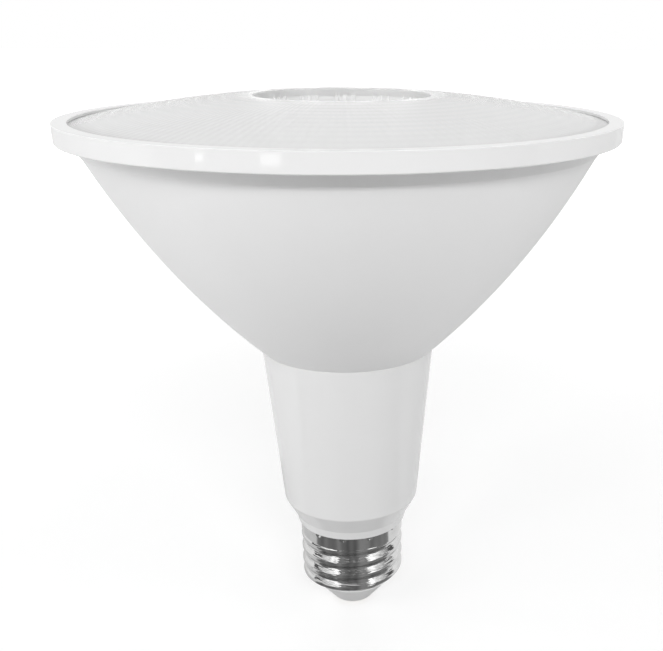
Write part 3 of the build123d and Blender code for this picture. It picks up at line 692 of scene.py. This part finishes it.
def swelling(share, count):
    """1 in the middle of a cell and 0 at its edges, for a share of the way and a number of cells."""
    inside_cell = crown_math("FRACT", crown_math("MULTIPLY", share, count))
    from_middle = crown_math("SUBTRACT", crown_math("MULTIPLY", inside_cell, 2.0), 1.0)
    return crown_math("SUBTRACT", 1.0, crown_math("POWER", from_middle, 2.0))


pillow_round = swelling(share_round, crown_in["Columns"])
pillow_out = swelling(share_out, crown_in["Rows"])
pillow = crown_math("MULTIPLY", pillow_round, pillow_out)
dome_side = crown_math("SUBTRACT", crown_radius, crown_in["Dome Centre Radius"])
dome_square = crown_math("MULTIPLY", crown_in["Dome Radius"], crown_in["Dome Radius"])
side_square = crown_math("MULTIPLY", dome_side, dome_side)
dome_rise = crown_math("SQRT", crown_math("SUBTRACT", dome_square, side_square))
dome_height = crown_math("ADD", crown_in["Dome Centre Height"], dome_rise)
pillow_rise = crown_math("MULTIPLY", pillow, crown_in["Pillow Height"])
place_values = {
    0: crown_math("MULTIPLY", crown_radius, crown_math("COSINE", crown_angle)),
    1: crown_math("MULTIPLY", crown_radius, crown_math("SINE", crown_angle)),
    2: crown_math("ADD", dome_height, pillow_rise),
}
crown_place = add_node(crown_tree, "ShaderNodeCombineXYZ", place_values).outputs[0]
print("crown's pillows and dome, now", len(crown_tree.nodes), "nodes")

# %% End of a tree, and one run of it


def end_tree(tree, geometry, finish):
    """Ends a geometry tree: real geometry with its finish."""
    real = add_node(tree, "GeometryNodeRealizeInstances", {"Geometry": geometry}).outputs["Geometry"]
    finished = add_node(tree, "GeometryNodeSetMaterial", {"Geometry": real, "Material": finish})
    add_node(tree, "NodeGroupOutput", {"Geometry": finished.outputs["Geometry"]})
    print(tree.name, "tree with", len(tree.nodes), "nodes")


def run_tree(name, tree, values):
    """The mesh that a geometry tree gives, with its inputs set by their identifiers."""
    holder = put_in_scene(name, bpy.data.meshes.new(name))
    modifier = holder.modifiers.new(name, "NODES")
    modifier.node_group = tree
    for item in tree.interface.items_tree:
        if item.in_out == "INPUT" and item.name in values:
            modifier[item.identifier] = values[item.name]
    graph = bpy.context.evaluated_depsgraph_get()
    mesh = bpy.data.meshes.new_from_object(holder.evaluated_get(graph))
    holder.modifiers.remove(modifier)
    bpy.data.objects.remove(holder)
    return mesh


set_values = {"Geometry": crown_grid, "Position": crown_place}
crown_set = add_node(crown_tree, "GeometryNodeSetPosition", set_values)
end_tree(crown_tree, crown_set.outputs["Geometry"], crown_in["Finish"])

# %% Crown
crown_columns = 180
crown_rows = 12
crown_steps = 4
lens_top = 129.95
crown_inner = (22.7, lens_top)
crown_outer = (57.15, 124.9)
dome_bulge = 0.6
pillow_height = 0.05
dome_centre = arc_centre(complex(*crown_inner), complex(*crown_outer), -dome_bulge)
dome_radius = abs(complex(*crown_inner) - dome_centre)
crown_values = {
    "Columns": crown_columns,
    "Rows": crown_rows,
    "Steps": crown_steps,
    "Inner Radius": crown_inner[0] * MM,
    "Outer Radius": crown_outer[0] * MM,
    "Dome Centre Radius": dome_centre.real * MM,
    "Dome Centre Height": dome_centre.imag * MM,
    "Dome Radius": dome_radius * MM,
    "Pillow Height": pillow_height * MM,
    "Finish": lens_clear,
}
crown_mesh = run_tree("lens_crown", crown_tree, crown_values)
print("crown with", crown_columns * crown_rows, "pillows,", len(crown_mesh.polygons), "faces")

# %% [markdown]
# ## Well and flange of the lens
# In the middle of the lens is a round well with a flat floor. Upright glints on its wall, in groups
# of three, are read as small moulded posts, so each circle of the wall is drawn in where a post
# stands. The skirt and the flange that the trim ring holds are plain circles. All circles have as
# many points as the crown's edges, so the points meet, and once they are merged the clear plastic is
# one closed body that bends light as one.

# %% Circles of the lens
lens_steps = crown_columns * crown_steps
lens_angles = np.linspace(0, 2 * math.pi, lens_steps, endpoint=False) - math.pi
post_groups = 14
post_leans = (-5.5, 0.0, 5.5)
post_angles = [88 + 360 * k / post_groups + lean for k in range(post_groups) for lean in post_leans]
post_half_width = 0.35


def lens_ring(radius, height, post_height=0.0):
    """One circle of the lens, in step with the crown and drawn in where posts stand."""
    turn_away = np.angle(np.exp(1j * (lens_angles[:, None] - np.radians(post_angles))))
    away = np.abs(turn_away).min(axis=1) * radius
    post = np.sqrt(np.clip(1.0 - (away / post_half_width) ** 2, 0, None))
    return ring_points(radius - post * post_height, lens_angles, height)


print(len(post_angles), "posts in the well of the lens")

# %% Crown, well and flange as one clear body
well_radius = 19.45
well_taper = 0.55
well_depth = 6
well_floor = 123.95
wall_levels = ((1.5, 0.0), (1.6, 0.25), (1.8, 0.35), (3.5, 0.35), (5.85, 0.35))
well_rim = rounded([crown_inner, (well_radius, lens_top, 0.3), (18.9, well_floor)], 4)[:-1]
lens_rings = [lens_ring(radius, height) for radius, height in well_rim]
for depth, post_height in wall_levels:
    wall_radius = well_radius - well_taper * depth / well_depth
    lens_rings.append(lens_ring(wall_radius, lens_top - depth, post_height))
lens_under = bulged((21.7, 127.95), (53.3, 123.3), -dome_bulge, 16)
lens_rest = [(17.4, well_floor), (0.0, well_floor), (0.0, 121.95), (20.9, 121.95)] + lens_under
lens_rest += [(53.3, 121.8), (54.5, 121.8), (54.5, 124.1), (58.5, 124.1), (58.5, 124.9), crown_outer]
lens_rings += [lens_ring(radius, height) for radius, height in lens_rest]
rest_mesh = mesh_from_rings("lens_rest", lens_rings, False)


def joined(name, meshes):
    """One mesh of several."""
    work = bmesh.new()
    for mesh in meshes:
        work.from_mesh(mesh)
    whole = bpy.data.meshes.new(name)
    work.to_mesh(whole)
    work.free()
    return whole


lens_mesh = finish_mesh(joined("patterned_lens", [crown_mesh, rest_mesh]), 40.0)
place_piece("patterned_lens", lens_mesh, lens_clear, "lens")

# %% [markdown]
# ## Reflector
# Behind the lens a white cone gathers the light. It is turned in one piece, with the collar that
# stands on the light board and the flange that the lens holds down.

# %% Reflector
reflector_bulge = 3.6
reflector_inside = bulged((14.5, 84.0), (51.2, 121.7), reflector_bulge, 40)
reflector_outside = bulged((15.7, 82.8), (52.4, 120.53), reflector_bulge, 40)
reflector_section = [(15.7, 80.2), (14.5, 80.2)] + reflector_inside
reflector_section += [(54.5, 121.7), (54.5, 120.53)] + reflector_outside[::-1]
turned("reflector_cone", reflector_section, reflector_white, "reflector")

# %% [markdown]
# ## Emitters
# Two rings of light emitters sit on the board, each a white frame with a yellow phosphor face, and
# three screws hold the board down. All of these repeat round the axis. They could be copied in a
# loop, but one tree that sets any shape on a circle, turned to face outwards, is easier to change.
# The same tree makes the frames, the faces and the screws, with other numbers.

# %% Tree for parts on a circle
circle_tree = bpy.data.node_groups.new("Parts on a circle", "GeometryNodeTree")
circle_sizes = {"Circle Radius": 0.007, "Start Angle": None, "Height": None}
add_sockets(circle_tree, "INPUT", "NodeSocketObject", {"Shape": None})
add_sockets(circle_tree, "INPUT", "NodeSocketInt", {"Count": 6})
add_sockets(circle_tree, "INPUT", "NodeSocketFloat", circle_sizes)
add_sockets(circle_tree, "INPUT", "NodeSocketMaterial", {"Finish": None})
add_sockets(circle_tree, "OUTPUT", "NodeSocketGeometry", {"Geometry": None})
circle_in = add_node(circle_tree, "NodeGroupInput").outputs
circle_values = {"Vertices": circle_in["Count"], "Radius": circle_in["Circle Radius"]}
circle_points = add_node(circle_tree, "GeometryNodeMeshCircle", circle_values)
circle_place = add_node(circle_tree, "GeometryNodeInputPosition").outputs[0]
circle_facing = add_node(
    circle_tree, "FunctionNodeAlignRotationToVector", {"Vector": circle_place}, axis="X"
)
circle_shape = add_node(circle_tree, "GeometryNodeObjectInfo", {"Object": circle_in["Shape"]})
many_values = {
    "Points": circle_points.outputs["Mesh"],
    "Instance": circle_shape.outputs["Geometry"],
    "Rotation": circle_facing.outputs[0],
}
circle_many = add_node(circle_tree, "GeometryNodeInstanceOnPoints", many_values)
circle_lift = add_node(circle_tree, "ShaderNodeCombineXYZ", {2: circle_in["Height"]})
circle_turn = add_node(circle_tree, "ShaderNodeCombineXYZ", {2: circle_in["Start Angle"]})
moved_values = {
    "Geometry": circle_many.outputs["Instances"],
    "Translation": circle_lift.outputs[0],
    "Rotation": circle_turn.outputs[0],
}
circle_moved = add_node(circle_tree, "GeometryNodeTransform", moved_values)
end_tree(circle_tree, circle_moved.outputs["Geometry"], circle_in["Finish"])

# %% Emitters
board_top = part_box("led_packages")[0][2] / MM
led_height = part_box("led_packages")[1][2] / MM - board_top
led_circles = [(6, 7.0, 30.0), (12, 11.8, 0.0)]


def tapered_block(name, sides, low_radius, high_radius, low, high):
    """A small block with so many sides, for a shape that is set on a circle."""
    angles = 2 * math.pi * (np.arange(sides) + 0.5) / sides
    reach = 1 / math.cos(math.pi / sides)
    outline = ((0, low), (low_radius, low), (high_radius, high), (0, high))
    rings = [ring_points(radius * reach, angles, height) for radius, height in outline]
    return bpy.data.objects.new(name, mesh_from_rings(name, rings, False))


def on_circles(name, shape, circles, finish):
    """One mesh of a shape on several circles, each a count, a radius and a start angle in degrees."""
    meshes = []
    for count, radius, start in circles:
        values = {
            "Shape": shape,
            "Count": count,
            "Circle Radius": radius * MM,
            "Start Angle": math.radians(start),
            "Height": board_top * MM,
            "Finish": finish,
        }
        meshes.append(run_tree(name, circle_tree, values))
    bpy.data.objects.remove(shape)
    return finish_mesh(joined(name, meshes))


led_frame = tapered_block("led_frame", 4, 1.5, 1.42, 0.0, led_height)
led_face = tapered_block("led_face", 20, 1.2, 1.1, led_height - 0.02, led_height + 0.04)
frame_mesh = on_circles("led_frames", led_frame, led_circles, inside["package_white"])
face_mesh = on_circles("led_faces", led_face, led_circles, inside["phosphor"])
place_piece("led_frames", frame_mesh, inside["package_white"], "led_packages")
place_piece("led_faces", face_mesh, inside["phosphor"], "led_packages")

# %% [markdown]
# ## Board screws
# Each screw has a cross recess for the driver. The recess could be left to a bump, but real edges
# catch the light, so a Boolean takes a cross of two bars out of one plain blank. After that the
# circle tree sets the screw in its three places.

# %% Blank and cross
head_height = 1.5
cross_length = 2.2
cross_width = 0.5
cross_depth = 0.6
screw_parts = [
    tapered_block("screw_top", 24, 2.2, 1.8, 0.0, head_height),
    tapered_block("screw_shank", 16, 1.25, 1.25, -4.0, 0.2),
]
screw_blank = joined("screw_blank", [part.data for part in screw_parts])
for part in screw_parts:
    bpy.data.objects.remove(part)

cross_work = bmesh.new()
cross_place = Matrix.Translation((0, 0, head_height * MM))
for wide, deep in ((cross_length, cross_width), (cross_width, cross_length)):
    bar = cross_place @ Matrix.Diagonal((wide, deep, 2 * cross_depth, 1.0)) @ Matrix.Scale(MM, 4)
    bmesh.ops.create_cube(cross_work, size=1.0, matrix=bar)
cross_mesh = bpy.data.meshes.new("cross_tool")
cross_work.to_mesh(cross_mesh)
cross_work.free()
print("screw blank with", len(screw_blank.polygons), "faces and a cross to take out of it")

# %% Screws with their recess


def cut(blank, tool):
    """The mesh of a blank with a tool's shape taken out of it."""
    holders = [put_in_scene(mesh.name, mesh) for mesh in (blank, tool)]
    boolean = holders[0].modifiers.new("recess", "BOOLEAN")
    boolean.operation = "DIFFERENCE"
    boolean.solver = "EXACT"
    boolean.use_self = True
    boolean.object = holders[1]
    graph = bpy.context.evaluated_depsgraph_get()
    mesh = bpy.data.meshes.new_from_object(holders[0].evaluated_get(graph))
    for holder in holders:
        bpy.data.objects.remove(holder)
    return mesh


screw_circle = [(3, 18.1, 30.0)]
board_screw = bpy.data.objects.new("board_screw", cut(screw_blank, cross_mesh))
screws_mesh = on_circles("cross_screws", board_screw, screw_circle, inside["screw_steel"])
place_piece("cross_screws", screws_mesh, inside["screw_steel"], "board_screws")

# %% [markdown]
# ## Studio
# The bulb was shot on white paper near the front edge of a table. The metal cap tells the rest: its
# plain rim mirrors white paper beside the bulb and a dark room in front of it, and each turn of its
# thread catches two tall soft lamps, left and right of the camera. So the set has pale paper that
# keeps a soft shadow, white surroundings, six soft lamps, and a room of cards for the mirrors. The
# paper shines only where it is seen directly, in a mirror or through glass, and the surroundings give
# less soft light than is seen of them. So both look white without lighting the bulb too much.

# %% White surroundings


def seen_directly(tree):
    """1 for rays from the camera, from mirrors and through glass, and 0 for soft light."""
    path = add_node(tree, "ShaderNodeLightPath").outputs
    first = calc(tree, "MAXIMUM", path["Is Camera Ray"], path["Is Glossy Ray"])
    return calc(tree, "MAXIMUM", first, path["Is Transmission Ray"])


soft_light = 0.45
surround = bpy.data.worlds.new("white_surround")
bpy.context.scene.world = surround
surround.use_nodes = True
surround_tree = surround.node_tree
surround_level = remap(surround_tree, seen_directly(surround_tree), 0.0, 1.0, soft_light, 1.0)
surround_values = {"Strength": surround_level, "Color": grey(1.0)}
set_inputs(surround_tree, surround_tree.nodes["Background"], surround_values)
print("white surroundings that give", soft_light, "as soft light")

# %% Paper floor
paper_half = 5.0
paper_near = 0.1
paper_far = 0.8
paper_lift_near = 0.48


def vector_sum(tree, operation, first, second=None):
    """The result of one sum on vectors."""
    inputs = {0: first} if second is None else {0: first, 1: second}
    outputs = add_node(tree, "ShaderNodeVectorMath", inputs, operation=operation).outputs
    return outputs["Value"] if operation == "LENGTH" else outputs["Vector"]


def stage_sheet(name, points, faces, material, mirrors_only=False):
    """A piece of the set, which isn't part of the bulb."""
    mesh = bpy.data.meshes.new(name)
    mesh.from_pydata(points, [], faces)
    mesh.materials.append(material)
    sheet = put_in_scene(name, mesh)
    if mirrors_only:
        sheet.visible_camera = False
        sheet.visible_diffuse = False
        sheet.visible_shadow = False
        sheet.visible_transmission = False
    return sheet


paper_plain = {"Base Color": grey(0.55), "Roughness": 0.9, "Emission Color": grey(1.0)}
paper, paper_tree, paper_shader = new_finish("paper_floor", paper_plain)
paper_distance = vector_sum(paper_tree, "LENGTH", own_place(paper_tree))
paper_lift = remap(paper_tree, paper_distance, paper_near, paper_far, paper_lift_near, 1.0)
paper_shine = calc(paper_tree, "MULTIPLY", seen_directly(paper_tree), paper_lift)
set_inputs(paper_tree, paper_shader, {"Emission Strength": paper_shine})
paper_ways = ((-1, -1), (1, -1), (1, 1), (-1, 1))
paper_corners = [(paper_half * x, paper_half * y, 0) for x, y in paper_ways]
stage_sheet("paper_floor", paper_corners, [(0, 1, 2, 3)], paper)
print("paper floor", 2 * paper_half, "m wide")

# %% [markdown]
# ## Lamps
# The shading of the whites shows where the light came from: more from the upper left than from the
# upper right, a low light from each side under the trim ring, and a narrow strip high in front. A
# low lamp behind lights the back, for views from other sides. The lamps themselves stay out of
# mirrors, because the metal's highlights are set up apart from them.

# %% Lamps
aim_height = 0.1


def softbox(name, azimuth, distance, middle, width, height, watts):
    """A rectangular lamp at an angle round from the camera's side, facing the bulb's axis."""
    data = bpy.data.lights.new(name, "AREA")
    data.shape = "RECTANGLE"
    data.size = width
    data.size_y = height
    data.energy = watts
    lamp = put_in_scene(name, data)
    side = math.radians(azimuth)
    place = Vector((distance * math.sin(side), -distance * math.cos(side), middle))
    lamp.location = place
    aim = Vector((0.0, 0.0, min(middle, aim_height)))
    lamp.rotation_euler = (place - aim).to_track_quat("Z", "Y").to_euler()
    lamp.visible_glossy = False
    lamp.visible_camera = False
    print(name, "with", watts, "W at", azimuth, "degrees")


softbox("left_box", -46, distance=1.0, middle=0.66, width=0.68, height=0.2, watts=3.15)
softbox("right_box", 58, distance=1.05, middle=0.69, width=0.95, height=0.2, watts=2.1)
softbox("side_box", -85, distance=1.0, middle=0.25, width=0.5, height=0.4, watts=2.4)
softbox("far_box", 80, distance=1.0, middle=0.22, width=0.5, height=0.4, watts=0.75)
softbox("front_box", 4, distance=0.85, middle=0.62, width=0.6, height=0.08, watts=4.8)
softbox("rear_box", 180, distance=1.1, middle=0.15, width=1.0, height=0.25, watts=5.0)

# %% [markdown]
# ## What the mirrors see
# A mirror shows the room, so the cap needs a room. It is a floor and a front wall that the camera
# doesn't see: white paper to the left and right, dimmer behind, and dark in front with slow bands of
# tone. One finish holds it all. Near the cap the bulb's shadow on the paper is painted shade: a ramp
# round the bulb gives greyer paper there, darkest behind, and farther out the paper is fully lit. The
# front wall also stops soft light, as the dark room did, and that gives the whites their grey front.

# %% Tones of the room
# Painted shade: near the cap these greys paint the bulb's shadow on the paper, greyer to the left and
# darkest behind. Farther out the paper is fully lit.
painted_shade_left = 0.69
painted_shade_right = 0.88
painted_shade_rear = 0.35
paper_lit = 0.92
shade_ends = (0.06, 0.09)
room_edges = [
    (-180, painted_shade_rear),
    (-153, painted_shade_rear),
    (-146, painted_shade_left),
    (-79, painted_shade_left),
    (-73, 0.0),
    (76, 0.0),
    (82, painted_shade_right),
    (146, painted_shade_right),
    (153, painted_shade_rear),
    (180, painted_shade_rear),
]


def azimuth_of(tree, place):
    """The angle of a place round the axis, 0 towards the camera's side."""
    sides = add_node(tree, "ShaderNodeSeparateXYZ", {0: place}).outputs
    ahead = calc(tree, "MULTIPLY", sides["Y"], -1.0)
    return calc(tree, "ARCTAN2", sides["X"], ahead)


def ramp_stops(ramp, stops):
    """Sets a colour ramp's greys at places from 0 to 1."""
    while len(ramp.elements) < len(stops):
        ramp.elements.new(1.0)
    for element, (place, level) in zip(ramp.elements, stops):
        element.position = place
        element.color = grey(level)


room_plain = {
    "Base Color": grey(0.0),
    "Roughness": 1.0,
    "Specular IOR Level": 0.0,
    "Emission Strength": 1.0,
}
room, room_tree, room_shader = new_finish("mirror_room", room_plain)
room_flat = vector_sum(room_tree, "MULTIPLY", own_place(room_tree), (1.0, 1.0, 0.0))
room_way = vector_sum(room_tree, "NORMALIZE", room_flat)
room_share = remap(room_tree, azimuth_of(room_tree, room_way), -math.pi, math.pi, 0.0, 1.0)
room_ramp = add_node(room_tree, "ShaderNodeValToRGB", {"Fac": room_share})
ramp_stops(room_ramp.color_ramp, [((azimuth + 180) / 360, level) for azimuth, level in room_edges])
room_round = room_ramp.outputs["Color"]
room_dark = remap(room_tree, noise(room_tree, room_way, 2.6, 1.0), 0.3, 0.7, 0.10, 0.32)
room_reach = vector_sum(room_tree, "LENGTH", room_flat)
room_far = remap(room_tree, room_reach, *shade_ends, 0.0, paper_lit)
room_paper = calc(room_tree, "GREATER_THAN", room_round, 0.01)
room_lift = calc(room_tree, "MULTIPLY", room_far, room_paper)
room_floor = calc(room_tree, "MAXIMUM", room_round, room_lift)
room_tone = calc(room_tree, "MAXIMUM", room_floor, room_dark)
set_inputs(room_tree, room_shader, {"Emission Color": room_tone})
print("room finish with", len(room_tree.nodes), "nodes")

# %% Floor and front wall of the room


def room_strip(name, first, last, low, high, steps=96):
    """A band of the room between two azimuths, from one ring (radius, height) to another."""
    points = []
    for k in range(steps + 1):
        side = math.radians(first + (last - first) * k / steps)
        for radius, height in (low, high):
            points.append((radius * math.sin(side), -radius * math.cos(side), height))
    faces = [(2 * k, 2 * k + 2, 2 * k + 3, 2 * k + 1) for k in range(steps)]
    return stage_sheet(name, points, faces, room, True)


room_strip("mirror_floor", -180, 180, (0.004, 0.001), (1.8, 0.001))
front_wall = room_strip("front_wall", -76, 79, (1.8, 0.0), (1.8, 2.6))
front_wall.visible_diffuse = True
print("the mirrors see a floor and a front wall")

# %% [markdown]
# ## The lamps in the metal
# In the thread each lamp is a bright streak that is sharp towards the middle and fades outwards,
# with ragged gaps. Two tall cards give that: their glow falls off round the bulb and is broken by
# noise. A dim line over the camera and two dark sides make the fine lines between the streaks.

# %% Cards for the metal


def glow(name, strength):
    """A finish that only shines."""
    shining = {"Base Color": grey(0.0), "Emission Color": grey(1.0), "Emission Strength": strength}
    return new_finish(name, shining)[0]


def mirror_card(name, middle, width, height, material):
    """A bright card that only mirrors see, upright and square to the bulb's axis, in millimetres."""
    place = Vector(middle) * MM
    across = Vector((place.y, -place.x, 0)).normalized() * width / 2 * MM
    up = Vector((0, 0, height / 2 * MM))
    corners = [place - across - up, place + across - up, place + across + up, place - across + up]
    stage_sheet(name, [tuple(corner) for corner in corners], [(0, 1, 2, 3)], material, True)


fade_from = math.radians(34)
fade_to = math.radians(80)
lamp_glow = glow("lamp_glow", 1.0)
glow_tree = lamp_glow.node_tree
glow_place = own_place(glow_tree)
glow_angle = calc(glow_tree, "ABSOLUTE", azimuth_of(glow_tree, glow_place))
glow_fade = remap(glow_tree, glow_angle, fade_from, fade_to, 2.4, 0.4)
glow_bands = noise(glow_tree, stretched(glow_tree, glow_place, (5.0, 5.0, 8.0)), 1.0, 3.0)
glow_cover = remap(glow_tree, glow_bands, 0.4, 0.55, 0.3, 1.0)
glow_level = calc(glow_tree, "MULTIPLY", glow_fade, glow_cover)
set_inputs(glow_tree, glow_tree.nodes["Principled BSDF"], {"Emission Color": glow_level})
mirror_card("left_glow", (-839, -545, 700), 800, 1350, lamp_glow)
mirror_card("right_glow", (890, -556, 700), 950, 1350, lamp_glow)
dim_glow = glow("dim_glow", 0.55)
mirror_card("front_line", (20, -850, 560), 760, 70, dim_glow)
dark_side = glow("dark_side", 0.08)
mirror_card("left_dark", (-1480, -80, 400), 640, 640, dark_side)
mirror_card("right_dark", (1480, -80, 400), 640, 640, dark_side)
print("the mirrors see two lamps that fade outwards, a dim line and two dark sides")

# %% [markdown]
# ## Glints and panes
# Two glints sit on the front of the glossy trim ring, one wide and one small. Each is a card placed
# where the ring mirrors it to the camera. Seen this flat, the lens mirrors what stands behind the
# bulb. A few dim panes there, like the bars of a studio light, bring out the pillows and lighten the
# plain ring round the well.

# %% Glints on the ring
wide_shine = glow("wide_shine", 3.0)
small_shine = glow("small_shine", 3.8)
mirror_card("wide_glint", (-235.0, -501.7, 57), 70, 8.0, wide_shine)
mirror_card("small_glint", (-426.3, -345.2, 58.6), 32, 5.0, small_shine)
print("two glints on the trim ring")

# %% Panes behind
pane_shine = glow("pane_shine", 1.8)
pane_columns = 4
pane_rows = 4
pane_behind = 1000
for column in range(pane_columns):
    for row in range(pane_rows):
        pane_place = (64 * column - 104, pane_behind, 130 * row + 210)
        mirror_card(f"pane_{column}_{row}", pane_place, 22, 50, pane_shine)
print(pane_columns * pane_rows, "panes behind")

# %% [markdown]
# ## View
# The Standard view shows colours as they are written.

# %% View settings
bpy.context.scene.view_settings.view_transform = "Standard"
